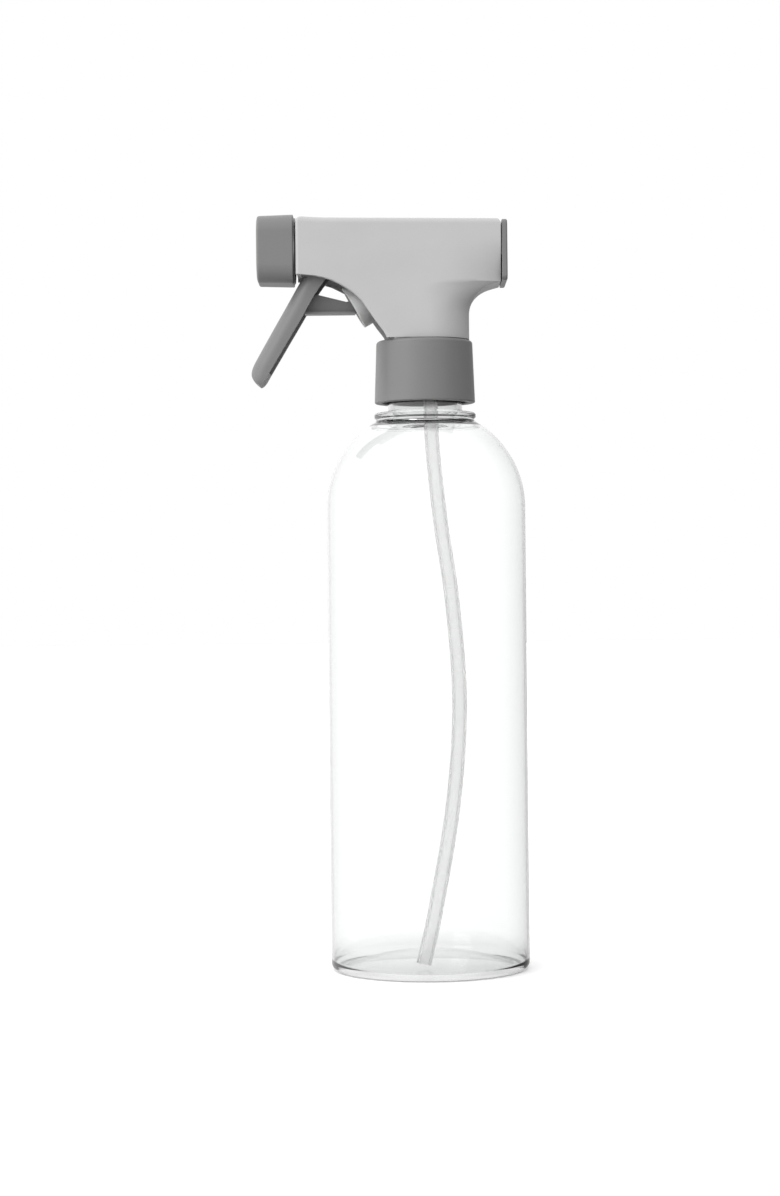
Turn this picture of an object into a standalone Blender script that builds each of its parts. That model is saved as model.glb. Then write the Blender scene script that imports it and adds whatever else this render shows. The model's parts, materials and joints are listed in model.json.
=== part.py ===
"""Trigger spray bottle: a clear bottle with a screw collar and a trigger pump head.

The nozzle points to -X, +Z is up, and the bottle stands on z = 0. Sizes are in millimetres, measured
from the bottle's own axis, and every mesh is scaled to metres when its object is made.
"""
import math

import bmesh
import bpy
from mathutils import Matrix, Vector

MM = 0.001
AXIS_X = 12.2  # the bottle's axis, so that the whole object is centred on x = 0
GAP = 0.3  # between pieces that touch

# Bottle
BOTTLE_R = 33.0
WALL = 0.8
SIDE_TOP = 153.2  # where the straight side ends and the shoulder begins
SHOULDER_ARC_R = 33.0
SHOULDER_TOP = 181.8
BASE_CORNER_R = 2.2
CONTACT_IN_R = 28.4
PUSH_UP = 5.0
RING_R = 16.9  # neck support ring
RING_Z = (183.1, 185.4)
NECK_R = 12.4
NECK_BORE_R = 10.9
NECK_TOP = 203.3

# Screw thread shared by the neck and the collar
PITCH = 4.233
THREAD_TURNS = 1.5
THREAD_Z = 192.0
THREAD_CREST_R = 13.7
COLLAR_THREAD_R = 12.95
COLLAR_THREAD_DROP = 1.65
THREAD_PHASE = math.radians(2.7)  # keeps the ridge's edges off the walls' own

# Collar
COLLAR_Z = (187.9, 208.5)
COLLAR_R = (16.7, 16.0)  # at the bottom and at the top
COLLAR_BORE_R = 14.05
COLLAR_TOP_WALL = 2.2
COLLAR_EYE_R = 10.3

# Tube retainer, gasket, ball valve and dip tube
FLANGE_R = 13.2
RISER_X = 2.0
SOCKET_R = 2.65
TUBE_R = 2.4
TUBE_BORE_R = 1.6
BALL_R = 2.0
BALL_Z = 213.1

# Pump body
NOZZLE_Z = 239.0  # height of the barrel and the nozzle
PIVOT = (-36.0, 236.3)  # the trigger's
MOUTH = (-23.55, 219.9)  # centre of the pump cylinder's open end
CYLINDER_TILT = math.radians(30)
CYLINDER_R = 7.6
BORE_R = 6.6
BORE_DEPTH = 16.0
CYLINDER_LENGTH = 18.0
BARREL_R = 3.4
BOSS_R = 5.5
PASSAGE_R = 1.2
CHAMBER_R = 3.6
VALVE_SEAT_X = -46.5
BOSS_FRONT_X = -52.8

# Trigger and its push link
TRIGGER_HALF = 7.5
TRIGGER_WALL = 1.8
LINK_PIN = (-40.5, 221.2)
LINK_BALL_DEPTH = 1.5

# Nozzle
NOZZLE_X = (-55.4, -43.1, -42.6)  # front, end of the square part, rear of the round skirt
NOZZLE_HALF = (11.15, 11.5)  # half the square's width at the front and at the rear
NOZZLE_CORNER_R = 5.8
NOZZLE_BORE_R = 6.3
NOZZLE_WALL = 1.8

# Shroud
SHROUD_HALF = 12.3
SHROUD_WALL = 1.4
SHROUD_X = (-42.2, 25.3)
SHROUD_TOP = 247.8  # at the rear
TOP_SLOPE = 0.014  # up to the front
SLOPE_FROM = 232.5
SHROUD_BOTTOM = 208.9
SHROUD_EDGE_R = 1.8
NECK_REAR_X = 15.0
NECK_FLARE_Z = (218.0, 227.0, 235.0)  # the neck's round corners flare from here, and are square by here
PLATE_X = (25.7, 27.5)
PLATE_Z = (227.4, 247.5)
REAR_OPENING_Z = 235.6

CYLINDER_AXIS = Vector((math.cos(CYLINDER_TILT), 0, math.sin(CYLINDER_TILT)))
ORIGINS = {}


# --- scene, materials and objects -------------------------------------------------------------

def clear_scene():
    for obj in list(bpy.data.objects):
        bpy.data.objects.remove(obj, do_unlink=True)


def material(name, colour, roughness, metallic=0.0, alpha=1.0):
    made = bpy.data.materials.new(name)
    made.use_nodes = True
    shader = made.node_tree.nodes["Principled BSDF"]
    shader.inputs["Base Color"].default_value = (*colour, 1)
    shader.inputs["Roughness"].default_value = roughness
    shader.inputs["Metallic"].default_value = metallic
    shader.inputs["Alpha"].default_value = alpha
    return made


def empty(name, at, parent=None):
    """An empty at a joint's axis, given in millimetres from the bottle's axis."""
    made = bpy.data.objects.new(name, None)
    bpy.context.scene.collection.objects.link(made)
    ORIGINS[name] = Vector(at)
    if parent is None:
        made.location = (ORIGINS[name] + Vector((AXIS_X, 0, 0))) * MM
    else:
        made.parent = bpy.data.objects[parent]
        made.location = (ORIGINS[name] - ORIGINS[parent]) * MM
    return made


def add(name, bm, parent, finish=None, smooth=30):
    """Makes an object of a mesh drawn in millimetres, with its origin at its parent's."""
    bmesh.ops.translate(bm, verts=bm.verts, vec=-ORIGINS[parent])
    bmesh.ops.scale(bm, verts=bm.verts, vec=(MM, MM, MM))
    bmesh.ops.recalc_face_normals(bm, faces=bm.faces)
    mesh = bpy.data.meshes.new(name)
    bm.to_mesh(mesh)
    bm.free()
    mesh.shade_smooth()
    mesh.set_sharp_from_angle(angle=math.radians(smooth))
    obj = bpy.data.objects.new(name, mesh)
    bpy.context.scene.collection.objects.link(obj)
    obj.parent = bpy.data.objects[parent]
    if finish is not None:
        mesh.materials.append(finish)
    return obj


def shape(obj, operation, *meshes):
    """Joins meshes to an object, or cuts them from it, with one Boolean each."""
    for bm in meshes:
        helper = add(f"{obj.name}_{operation.lower()}_{len(obj.modifiers)}", bm, obj.parent.name)
        helper.hide_render = True
        helper.display_type = "WIRE"
        boolean = obj.modifiers.new(helper.name, "BOOLEAN")
        boolean.operation = operation
        boolean.solver = "EXACT"
        boolean.object = helper
    return obj


# --- mesh builders, all in millimetres --------------------------------------------------------

def turned(profile, steps=32, at=(0, 0, 0), along=(0, 0, 1)):
    """A profile of (radius, height) turned about an axis; it is closed unless it ends on the axis."""
    bm = bmesh.new()
    points = [bm.verts.new((r, 0, z)) for r, z in profile]
    ends_on_axis = profile[0][0] == 0 and profile[-1][0] == 0
    pairs = list(zip(points, points[1:])) + ([] if ends_on_axis else [(points[-1], points[0])])
    edges = [bm.edges.new(pair) for pair in pairs]
    bmesh.ops.spin(bm, geom=points + edges, cent=(0, 0, 0), axis=(0, 0, 1),
                   angle=2 * math.pi, steps=steps)
    bmesh.ops.remove_doubles(bm, verts=bm.verts, dist=1e-4)
    turn = Vector(along).to_track_quat("Z", "Y").to_matrix().to_4x4()
    bmesh.ops.transform(bm, verts=bm.verts, matrix=Matrix.Translation(at) @ turn)
    return bm


def rod(radius, start, end, steps=24, bore=0.0):
    """A plain cylinder or tube between two points."""
    start, end = Vector(start), Vector(end)
    length = (end - start).length
    outline = [(bore, 0), (radius, 0), (radius, length), (bore, length)]
    return turned(outline, steps, start, end - start)


def box(low, high):
    bm = bmesh.new()
    bmesh.ops.create_cube(bm, size=1)
    low, high = Vector(low), Vector(high)
    bmesh.ops.scale(bm, verts=bm.verts, vec=high - low)
    bmesh.ops.translate(bm, verts=bm.verts, vec=(low + high) / 2)
    return bm


def prism(outline, y_low, y_high):
    """An outline of (x, z) extruded along Y."""
    bm = bmesh.new()
    face = bm.faces.new([bm.verts.new((x, y_low, z)) for x, z in outline])
    grown = bmesh.ops.extrude_face_region(bm, geom=[face])["geom"]
    moved = [item for item in grown if isinstance(item, bmesh.types.BMVert)]
    bmesh.ops.translate(bm, verts=moved, vec=(0, y_high - y_low, 0))
    return bm


def loft(rings, hollow_ends=False):
    """Quads between rings with the same number of points, with a face over each end."""
    bm = bmesh.new()
    made = [[bm.verts.new(point) for point in ring] for ring in rings]
    for low, high in zip(made, made[1:]):
        for i in range(len(low)):
            j = (i + 1) % len(low)
            bm.faces.new((low[i], low[j], high[j], high[i]))
    if not hollow_ends:
        bm.faces.new(reversed(made[0]))
        bm.faces.new(made[-1])
    return bm


def arc(centre, radius, start, end, count):
    """Points along an arc, its angles in degrees."""
    turns = [math.radians(start + (end - start) * i / count) for i in range(count + 1)]
    return [(centre[0] + radius * math.cos(a), centre[1] + radius * math.sin(a)) for a in turns]


def swept(path, radius, sides, bore=0.0):
    """A round section carried along a path; with a bore it is an open tube."""
    points = [Vector(p) for p in path]
    rings, holes = [], []
    for i, point in enumerate(points):
        along = (points[min(i + 1, len(points) - 1)] - points[max(i - 1, 0)]).normalized()
        across = along.cross(Vector((0.3, 1, 0.2))).normalized()
        other = along.cross(across)
        turns = [2 * math.pi * k / sides for k in range(sides)]
        round_it = [across * math.cos(a) + other * math.sin(a) for a in turns]
        rings.append([point + way * radius for way in round_it])
        holes.append([point + way * bore for way in round_it])
    if not bore:
        return loft(rings)
    closed = rings + holes[::-1] + rings[:1]
    bm = loft(closed, hollow_ends=True)
    bmesh.ops.remove_doubles(bm, verts=bm.verts, dist=1e-4)
    return bm


def smooth_path(knots, per_span):
    """A Catmull-Rom curve through a few chosen points."""
    knots = [Vector(k) for k in knots]
    padded = [2 * knots[0] - knots[1]] + knots + [2 * knots[-1] - knots[-2]]
    path = []
    for a, b, c, d in zip(padded, padded[1:], padded[2:], padded[3:]):
        for i in range(per_span):
            t = i / per_span
            path.append(0.5 * (2 * b + (c - a) * t + (2 * a - 5 * b + 4 * c - d) * t**2
                               + (3 * b - a - 3 * c + d) * t**3))
    return path + [knots[-1]]


def coil(radius, wire, length, turns, at, along, per_turn=12, sides=5):
    """A compression spring with flat closed ends."""
    steps = int(turns * per_turn)
    path = []
    for i in range(steps + 1):
        a = 2 * math.pi * turns * i / steps
        share = min(max((i / steps - 0.12) / 0.76, 0), 1)
        height = wire + (length - 2 * wire) * share + 2.2 * wire * min(i / steps / 0.12, 1) - 2.2 * wire
        height = max(height, wire) if i / steps < 0.5 else height
        path.append((radius * math.cos(a), radius * math.sin(a), height))
    bm = swept(path, wire, sides)
    turn = Vector(along).to_track_quat("Z", "Y").to_matrix().to_4x4()
    bmesh.ops.transform(bm, verts=bm.verts, matrix=Matrix.Translation(at) @ turn)
    return bm


def thread(root_r, crest_r, start_z, half_root, half_crest, per_turn=20):
    """A helical ridge of trapezoid section, fading into its wall at both ends."""
    steps = int(THREAD_TURNS * per_turn)
    rings = []
    for i in range(steps + 1):
        a = 2 * math.pi * i / per_turn + THREAD_PHASE
        fade = min(1, i / 3 + 0.05, (steps - i) / 3 + 0.05)
        crest = root_r + (crest_r - root_r) * fade
        z = start_z + PITCH * i / per_turn
        section = [(root_r, -half_root), (crest, -half_crest), (crest, half_crest), (root_r, half_root)]
        rings.append([(r * math.cos(a), r * math.sin(a), z + dz) for r, dz in section])
    return loft(rings)


# --- bottle, collar and what seals them -------------------------------------------------------

def bottle(finish):
    centre_r = BOTTLE_R - SHOULDER_ARC_R
    top_angle = math.degrees(math.asin((SHOULDER_TOP - SIDE_TOP) / SHOULDER_ARC_R))
    dome = [(CONTACT_IN_R * i / 5, PUSH_UP * (1 - (i / 5) ** 2)) for i in range(6)]
    corner = arc((BOTTLE_R - BASE_CORNER_R, BASE_CORNER_R), BASE_CORNER_R, -90, 0, 3)
    shoulder = arc((centre_r, SIDE_TOP), SHOULDER_ARC_R, 0, top_angle, 8)
    ring = [(16.2, RING_Z[0] - 0.1), (RING_R - 0.3, RING_Z[0]), (RING_R, RING_Z[0] + 0.5),
            (RING_R, RING_Z[1] - 0.7), (RING_R - 0.6, RING_Z[1])]
    neck = [(NECK_R + 0.4, RING_Z[1] + 0.3), (NECK_R, RING_Z[1] + 0.8), (NECK_R, NECK_TOP)]
    inner_corner = BASE_CORNER_R + 0.4
    inside = [(NECK_BORE_R, NECK_TOP), (NECK_BORE_R, RING_Z[0]), (NECK_BORE_R + 1.2, RING_Z[0] - 1.6)]
    inside += arc((centre_r, SIDE_TOP), SHOULDER_ARC_R - WALL, top_angle - 6, 0, 6)
    inside += arc((BOTTLE_R - WALL - inner_corner, inner_corner + 1), inner_corner, 0, -90, 2)
    inside += [(r, z + 1.0) for r, z in dome[-2::-2]] + [(0, PUSH_UP + 1.0)]
    profile = dome + corner + shoulder + ring + neck + inside
    made = add("bottle", turned(profile, 40), "bottle_axis", finish, 25)
    return shape(made, "UNION", thread(NECK_R - 0.4, THREAD_CREST_R, THREAD_Z, 1.1, 0.5))


def collar(finish):
    low, high = COLLAR_Z
    profile = [(COLLAR_BORE_R, low), (COLLAR_R[0] - 0.3, low), (COLLAR_R[0], low + 0.3)]
    profile += arc((COLLAR_R[1] - 0.9, high - 0.9), 0.9, 0, 90, 3)
    profile += [(COLLAR_EYE_R, high), (COLLAR_EYE_R, high - COLLAR_TOP_WALL),
                (COLLAR_BORE_R, high - COLLAR_TOP_WALL)]
    made = add("collar", turned(profile, 40), "collar_axis", finish)
    ridge = thread(COLLAR_BORE_R + 0.4, COLLAR_THREAD_R, THREAD_Z - COLLAR_THREAD_DROP, 0.9, 0.4)
    return shape(made, "UNION", ridge)


def tube_retainer(finish):
    """Flanged plug that snaps up into the pump body, carrying the ball seat and the dip tube."""
    top = COLLAR_Z[1] - COLLAR_TOP_WALL - GAP
    flange = [(0, 199.5), (9.4, 199.5), (10.2, 200.5), (10.2, top - 1.2), (FLANGE_R, top - 1.2),
              (FLANGE_R, top), (7.9, top), (7.9, 214.4), (7.5, 214.8), (0, 214.8)]
    made = add("tube_retainer", turned(flange, 28), "head_axis", finish)
    shape(made, "DIFFERENCE", turned([(5.2, 199), (9.0, 199), (8.6, 204.2), (5.2, 204.2)], 20))
    spigot = rod(4.4, (RISER_X, 0, 196.5), (RISER_X, 0, 202), 18)
    shape(made, "UNION", spigot)
    socket = rod(SOCKET_R, (RISER_X, 0, 190), (RISER_X, 0, 209.2), 16)
    seat = turned([(0, 208), (1.4, 208), (1.4, 211.6), (2.5, 213.0), (2.5, 216), (0, 216)], 16,
                  (RISER_X, 0, 0))
    return shape(made, "DIFFERENCE", socket, seat)


def closure_gasket(finish):
    return add("closure_gasket", rod(FLANGE_R, (0, 0, NECK_TOP + GAP), (0, 0, NECK_TOP + 1.2), 28, 10.5),
               "head_axis", finish)


def inlet_ball(finish):
    ball = turned([(BALL_R * math.sin(math.pi * i / 8), BALL_Z - BALL_R * math.cos(math.pi * i / 8))
                   if 0 < i < 8 else (0, BALL_Z - BALL_R * math.cos(math.pi * i / 8))
                   for i in range(9)], 12, (RISER_X, 0, 0))
    return add("inlet_ball", ball, "ball_axis", finish, 60)


def dip_tube(finish):
    """A stiff curved tube: it bows to the rear and comes down against the front of the base."""
    knots = [(RISER_X, 0, 208.8), (RISER_X, 0, 196), (2.2, 0, 176), (4.7, -0.8, 149), (8.3, -3.2, 122),
             (10.3, -7.0, 89), (7.8, -13.0, 56), (1.7, -20.0, 22.5), (-2.5, -23.8, 4.6)]
    return add("dip_tube", swept(smooth_path(knots, 3), TUBE_R, 10, TUBE_BORE_R), "head_axis", finish)


# --- pump head --------------------------------------------------------------------------------

def in_cylinder(depth, across=0.0):
    """A point at a depth inside the pump cylinder, and so far above its axis."""
    mouth = Vector((MOUTH[0], 0, MOUTH[1]))
    return mouth + CYLINDER_AXIS * depth + Vector((-CYLINDER_AXIS.z, 0, CYLINDER_AXIS.x)) * across


def pump_body(finish):
    """One moulding: hub, post, tilted cylinder, barrel, and the boss that the nozzle turns on."""
    top = COLLAR_Z[1] - COLLAR_TOP_WALL
    hub = turned([(0, top + 0.3), (COLLAR_EYE_R - 0.4, top + 0.3), (COLLAR_EYE_R - 0.4, 212.5),
                  (8.9, 217.5), (0, 217.5)], 28)
    made = add("pump_body", hub, "head_axis", finish)
    cylinder = rod(CYLINDER_R, in_cylinder(0), in_cylinder(CYLINDER_LENGTH), 32)
    post = rod(5.0, (RISER_X, 0, 216), (RISER_X, 0, NOZZLE_Z + 3.1), 18)
    barrel = rod(BARREL_R, (-44, 0, NOZZLE_Z), (RISER_X + 2, 0, NOZZLE_Z), 18)
    boss = turned([(0, 0), (BOSS_R - 0.4, 0), (BOSS_R, 0.4), (BOSS_R, 3.2), (4.9, 3.4), (4.9, 4.8),
                   (BOSS_R, 5.0), (BOSS_R, 10.8), (0, 10.8)], 24, (BOSS_FRONT_X, 0, NOZZLE_Z), (1, 0, 0))
    web = prism([(-14, 219), (-3, 215), (0, 232), (-10, 233)], -1.2, 1.2)
    spine = prism([(-20, NOZZLE_Z), (1, NOZZLE_Z), (1, 228), (-9, 229)], -1.1, 1.1)
    pegs = rod(1.9, (PIVOT[0], -7.0, PIVOT[1]), (PIVOT[0], 7.0, PIVOT[1]), 16)
    lugs = rod(2.2, (9.5, -10.5, 240), (9.5, 10.5, 240), 12)
    bracket = prism([(RISER_X, 238.6), (11.5, 238.6), (11.5, 241.6), (RISER_X, 239.3)], -2.0, 2.0)
    shape(made, "UNION", cylinder, post, barrel, boss, web, spine, pegs, bracket, lugs)
    plug_bore = rod(8.2, (0, 0, top - 1), (0, 0, 215.7), 24)
    bore = rod(BORE_R, in_cylinder(-3), in_cylinder(BORE_DEPTH), 32)
    port = rod(1.3, in_cylinder(BORE_DEPTH - 1), (RISER_X, 0, in_cylinder(29.5).z), 12)
    riser = rod(1.6, (RISER_X, 0, 214.5), (RISER_X, 0, NOZZLE_Z), 12)
    seat = VALVE_SEAT_X - (BOSS_FRONT_X - 2)
    end = RISER_X + 0.6 - (BOSS_FRONT_X - 2)
    passage = turned([(0, 0), (CHAMBER_R, 0), (CHAMBER_R, seat), (PASSAGE_R, seat), (PASSAGE_R, end), (0, end)],
                     16, nozzle_point(BOSS_FRONT_X - 2), (1, 0, 0))
    return shape(made, "DIFFERENCE", plug_bore, bore, port, riser, passage)


def piston(finish):
    """Cup-shaped piston: the push link's ball presses in front, the spring sits behind."""
    profile = [(0, 4.0), (1.6, 4.1), (2.6, 3.6), (2.8, 1.8), (3.5, 0.4), (5.8, 0.4), (6.2, 0.8),
               (6.2, 5.6), (5.4, 5.8), (5.4, 7.0), (6.2, 7.2), (6.2, 9.5), (4.8, 9.5), (4.8, 5.3), (0, 5.3)]
    return add("piston", turned(profile, 24, in_cylinder(0), CYLINDER_AXIS), "piston_axis", finish)


def ring(name, inner, outer, start, end, at, along, parent, finish):
    """A seal with rounded edges."""
    edge = min(end - start, outer - inner) * 0.3
    profile = [(inner, start + edge), (inner + edge, start), (outer - edge, start), (outer, start + edge),
               (outer, end - edge), (outer - edge, end), (inner + edge, end), (inner, end - edge)]
    return add(name, turned(profile, 24, at, along), parent, finish)


def push_link(finish):
    """Web and foot from a cross pin in the trigger to a round end in the piston's cup."""
    ball = in_cylinder(LINK_BALL_DEPTH)
    pin_x, pin_z = LINK_PIN
    web = [(pin_x + 0.6, 217.5), (-22.9, 217.5), (ball.x + 0.3, ball.z - 1.9), (ball.x - 0.3, ball.z + 1.9),
           (-25.8, 221.9), (-35.2, 224.3), (-37.0, 224.1), (pin_x - 1.0, 222.9), (pin_x - 1.6, 221.0)]
    made = add("push_link", prism(web, -1.0, 1.0), "link_axis", finish)
    foot = prism([(pin_x + 0.9, 217.4), (-22.9, 217.4), (-22.9, 218.4), (pin_x + 0.4, 218.6)], -3.0, 3.0)
    tip = turned([(0, -2.1), (1.5, -1.5), (2.1, 0), (1.5, 1.5), (0, 2.1)], 16, ball, CYLINDER_AXIS)
    hub = rod(2.3, (pin_x, -3.4, pin_z), (pin_x, 3.4, pin_z), 20)
    pin = rod(1.4, (pin_x, -6.6, pin_z), (pin_x, 6.6, pin_z), 20)
    return shape(made, "UNION", foot, tip, hub, pin)


def trigger_outline():
    """The lever from the side: front edge, round tip, back edge, and the ear round the pivot."""
    tip = arc((-53.75, 198.1), 3.75, 155, 232, 4)
    back = [(-54.5, 193.9), (-52.8, 195.3), (-49.3, 201.6), (-40.0, 217.1), (-35.2, 225.3), (-32.3, 229.2)]
    ear = arc(PIVOT, 4.0, -20, 180, 10)
    return [(-40.6, 229.0), (-56.2, 201.8)] + tip + back + ear


def trigger(finish):
    inner = TRIGGER_HALF - TRIGGER_WALL
    made = add("trigger", prism(trigger_outline(), -TRIGGER_HALF, TRIGGER_HALF), "trigger_axis", finish)
    rounding = made.modifiers.new("rounded edges", "BEVEL")
    rounding.width = 0.9 * MM
    rounding.segments = 2
    rounding.limit_method = "ANGLE"
    rounding.angle_limit = math.radians(50)
    channel = [(-38.6, 229.4), (-54.3, 201.6), (-55.1, 198.4), (-53.3, 195.6), (-49.0, 193.4), (-25, 222),
               (-25, 245), (-45, 245), (-45, 231.0), (-39.8, 231.0)]
    eyes = rod(2.2, (PIVOT[0], -9, PIVOT[1]), (PIVOT[0], 9, PIVOT[1]), 20)
    sockets = rod(1.7, (LINK_PIN[0], -6.8, LINK_PIN[1]), (LINK_PIN[0], 6.8, LINK_PIN[1]), 20)
    return shape(made, "DIFFERENCE", prism(channel, -inner, inner), eyes, sockets)


# --- nozzle -----------------------------------------------------------------------------------

def nozzle_point(x):
    return (x, 0, NOZZLE_Z)


def rounded_square(half, corner, x, per_corner=6):
    ring_points = []
    for k, (sy, sz) in enumerate(((1, 1), (-1, 1), (-1, -1), (1, -1))):
        centre = (sy * (half - corner), NOZZLE_Z + sz * (half - corner))
        ring_points += arc(centre, corner, 90 * k, 90 * (k + 1), per_corner)
    return [(x, y, z) for y, z in ring_points]


def nozzle_cap(finish):
    front, shoulder, rear = NOZZLE_X
    rings = [rounded_square(NOZZLE_HALF[0] - 1.2, NOZZLE_CORNER_R - 1.2, front),
             rounded_square(NOZZLE_HALF[0] - 0.4, NOZZLE_CORNER_R - 0.4, front + 0.4),
             rounded_square(NOZZLE_HALF[0], NOZZLE_CORNER_R, front + 1.4),
             rounded_square(NOZZLE_HALF[1], NOZZLE_CORNER_R, shoulder)]
    made = add("nozzle_cap", loft(rings), "nozzle_axis", finish)
    skirt = rod(NOZZLE_HALF[1] - 0.1, nozzle_point(shoulder - 1), nozzle_point(rear), 48)
    shape(made, "UNION", skirt)
    beyond = rear - front + 2
    hollow = turned([(0, -5), (3.1, -5), (3.1, NOZZLE_WALL), (NOZZLE_BORE_R, NOZZLE_WALL),
                     (NOZZLE_BORE_R, beyond), (7.5, beyond), (7.5, 4.5), (9.8, 4.5), (9.8, beyond + 3),
                     (0, beyond + 3)], 32, nozzle_point(front), (1, 0, 0))
    return shape(made, "DIFFERENCE", hollow)


def orifice_insert(finish):
    front = NOZZLE_X[0]
    profile = [(0.35, 0.2), (0.9, 0), (2.5, 0), (2.8, 0.3), (2.8, 1.7), (0.35, 1.7)]
    return add("orifice_insert", turned(profile, 18, nozzle_point(front), (1, 0, 0)), "nozzle_axis", finish)


def swirl_core(finish):
    made = add("swirl_core", rod(3.3, nozzle_point(-53.2), nozzle_point(-50.9), 24), "head_axis", finish)
    slots = [box((-54, -0.5, NOZZLE_Z), (-50, 0.5, NOZZLE_Z + 5)) for _ in range(3)]
    for k, slot in enumerate(slots):
        turn = Matrix.Rotation(math.radians(120 * k), 4, "X")
        about = Matrix.Translation(nozzle_point(0)) @ turn @ Matrix.Translation(nozzle_point(0)).inverted()
        bmesh.ops.translate(slot, verts=slot.verts, vec=(0, 0, 2.2))
        bmesh.ops.transform(slot, verts=slot.verts, matrix=about)
    return shape(made, "DIFFERENCE", *slots)


def outlet_valve(finish):
    profile = [(0, 0.3), (2.6, 0.3), (2.6, 1.1), (0.9, 1.3), (0.8, 2.6), (0, 2.8)]
    at = nozzle_point(VALVE_SEAT_X)
    return add("outlet_valve", turned(profile, 20, at, (-1, 0, 0)), "valve_axis", finish)


# --- shroud and rear plate --------------------------------------------------------------------

def blend(t):
    t = min(max(t, 0), 1)
    return t * t * (3 - 2 * t)


def front_edge(z):
    """Where the shroud's open front edge is at a height: an arc, then a level lip."""
    low = [(SHROUD_BOTTOM, -12.4), (211.0, -13.5), (214.0, -15.8), (218.0, -18.5), (221.3, -20.8),
           (224.0, -23.8), (226.2, -27.2), (228.2, -31.2), (229.4, -35.7), (230.0, SHROUD_X[0])]
    for (z0, x0), (z1, x1) in zip(low, low[1:]):
        if z <= z1:
            return x0 + (x1 - x0) * max(z - z0, 0) / (z1 - z0)
    return SHROUD_X[0]


def rear_edge(z):
    """The back of the neck, a concave arc, then the flat rear end."""
    if z < 217.0:
        return NECK_REAR_X
    if z > 226.9:
        return SHROUD_X[1]
    return NECK_REAR_X + 10.2 * (1 - math.sqrt(max(0, 1 - ((z - 217.0) / 9.9) ** 2)))


def corner_size(z, half, inset):
    """How far the rear corner's curve reaches along X and Y: round on the neck, then long and shallow."""
    flared = blend((z - NECK_FLARE_Z[0]) / (NECK_FLARE_Z[1] - NECK_FLARE_Z[0]))
    squared = blend((z - NECK_FLARE_Z[1]) / (NECK_FLARE_Z[2] - NECK_FLARE_Z[1]))
    reach = 13.3 - inset * 0.5 + 2.0 * flared
    side = half + (5.0 - half) * flared
    return reach + (1.4 - reach) * squared, side + (1.4 - side) * squared


def shroud_slice(z, inset, per_corner=7):
    """One level outline of the shroud: flat sides, and a rear corner that tightens upwards."""
    edge = max(0, z - (SHROUD_TOP - SHROUD_EDGE_R - inset))
    pull = SHROUD_EDGE_R * (1 - math.sqrt(max(0, 1 - min(1, edge / SHROUD_EDGE_R) ** 2)))
    half = SHROUD_HALF - inset - pull
    rear = rear_edge(z) - inset - pull
    front = front_edge(z) + inset + pull
    reach, side = corner_size(z, half, inset)
    nose = 1.0
    points = []
    for i in range(per_corner + 1):
        a = math.pi / 2 * i / per_corner
        points.append((rear - reach + reach * math.cos(a), half - side + side * math.sin(a), z))
    points += [(front + nose, half, z), (front, half - nose, z)]
    slope = TOP_SLOPE * max(0, z - SLOPE_FROM) / (SHROUD_TOP - SLOPE_FROM)
    points = [(x, y, z + slope * (SHROUD_X[1] - x)) for x, y, z in points]
    return points + [(x, -y, z) for x, y, z in reversed(points)]


def shroud(finish):
    levels = [SHROUD_BOTTOM, 211, 214, 217, 218.5, 220, 221.5, 223, 224.2, 225.3, 226.2, 226.9, 228.2,
              229.4, 230, 231.4, 233, 235, 238, 242, SHROUD_TOP - SHROUD_EDGE_R]
    rounded = [SHROUD_TOP - SHROUD_EDGE_R * (1 - math.sin(math.radians(a))) for a in (25, 50, 70, 90)]
    made = add("shroud", loft([shroud_slice(z, 0) for z in levels + rounded]), "head_axis", finish, 35)
    ceiling = SHROUD_TOP - SHROUD_WALL
    inner = [SHROUD_BOTTOM - 1] + levels[1:-1] + [ceiling - 1.2, ceiling]
    cavity = loft([shroud_slice(z, SHROUD_WALL, 4) for z in inner])
    side = SHROUD_HALF - SHROUD_WALL - 0.2
    mouth = prism([(-60, 200), (-2, 200), (-2, 222), (-14, 231.3), (-60, 231.3)], -side, side)
    hole = rod(BOSS_R + 0.4, nozzle_point(-50), nozzle_point(-38), 24)
    rear = box((15, -side, REAR_OPENING_Z), (30, side, ceiling - 0.3))
    return shape(made, "DIFFERENCE", cavity, mouth, hole, rear)


def rear_plate(finish):
    half, corner = SHROUD_HALF - 0.1, 1.6
    low, high = PLATE_Z
    outline = []
    for k, (sy, sz) in enumerate(((1, 1), (-1, 1), (-1, -1), (1, -1))):
        centre = (sy * (half - corner), (high - corner) if sz > 0 else (low + corner))
        outline += arc(centre, corner, 90 * k, 90 * (k + 1), 4)
    def face(x, inset):
        middle = (low + high) / 2
        height = (high - low) / 2
        return [(x, y * (1 - inset / half), middle + (z - middle) * (1 - inset / height)) for y, z in outline]
    rings = [face(PLATE_X[0], 0.2), face(PLATE_X[0] + 0.3, 0), face(PLATE_X[1] - 0.5, 0), face(PLATE_X[1], 0.6)]
    made = add("rear_plate", loft(rings), "head_axis", finish)
    side = SHROUD_HALF - SHROUD_WALL - 0.5
    plug = box((20.4, -side, REAR_OPENING_Z + GAP), (PLATE_X[0] + 0.5, side, SHROUD_TOP - SHROUD_WALL - 0.6))
    hollow = box((19, -side + 1.2, REAR_OPENING_Z + 1.5), (PLATE_X[0] - 0.3, side - 1.2, SHROUD_TOP - SHROUD_WALL - 1.8))
    shape(made, "UNION", plug)
    return shape(made, "DIFFERENCE", hollow)


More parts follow.
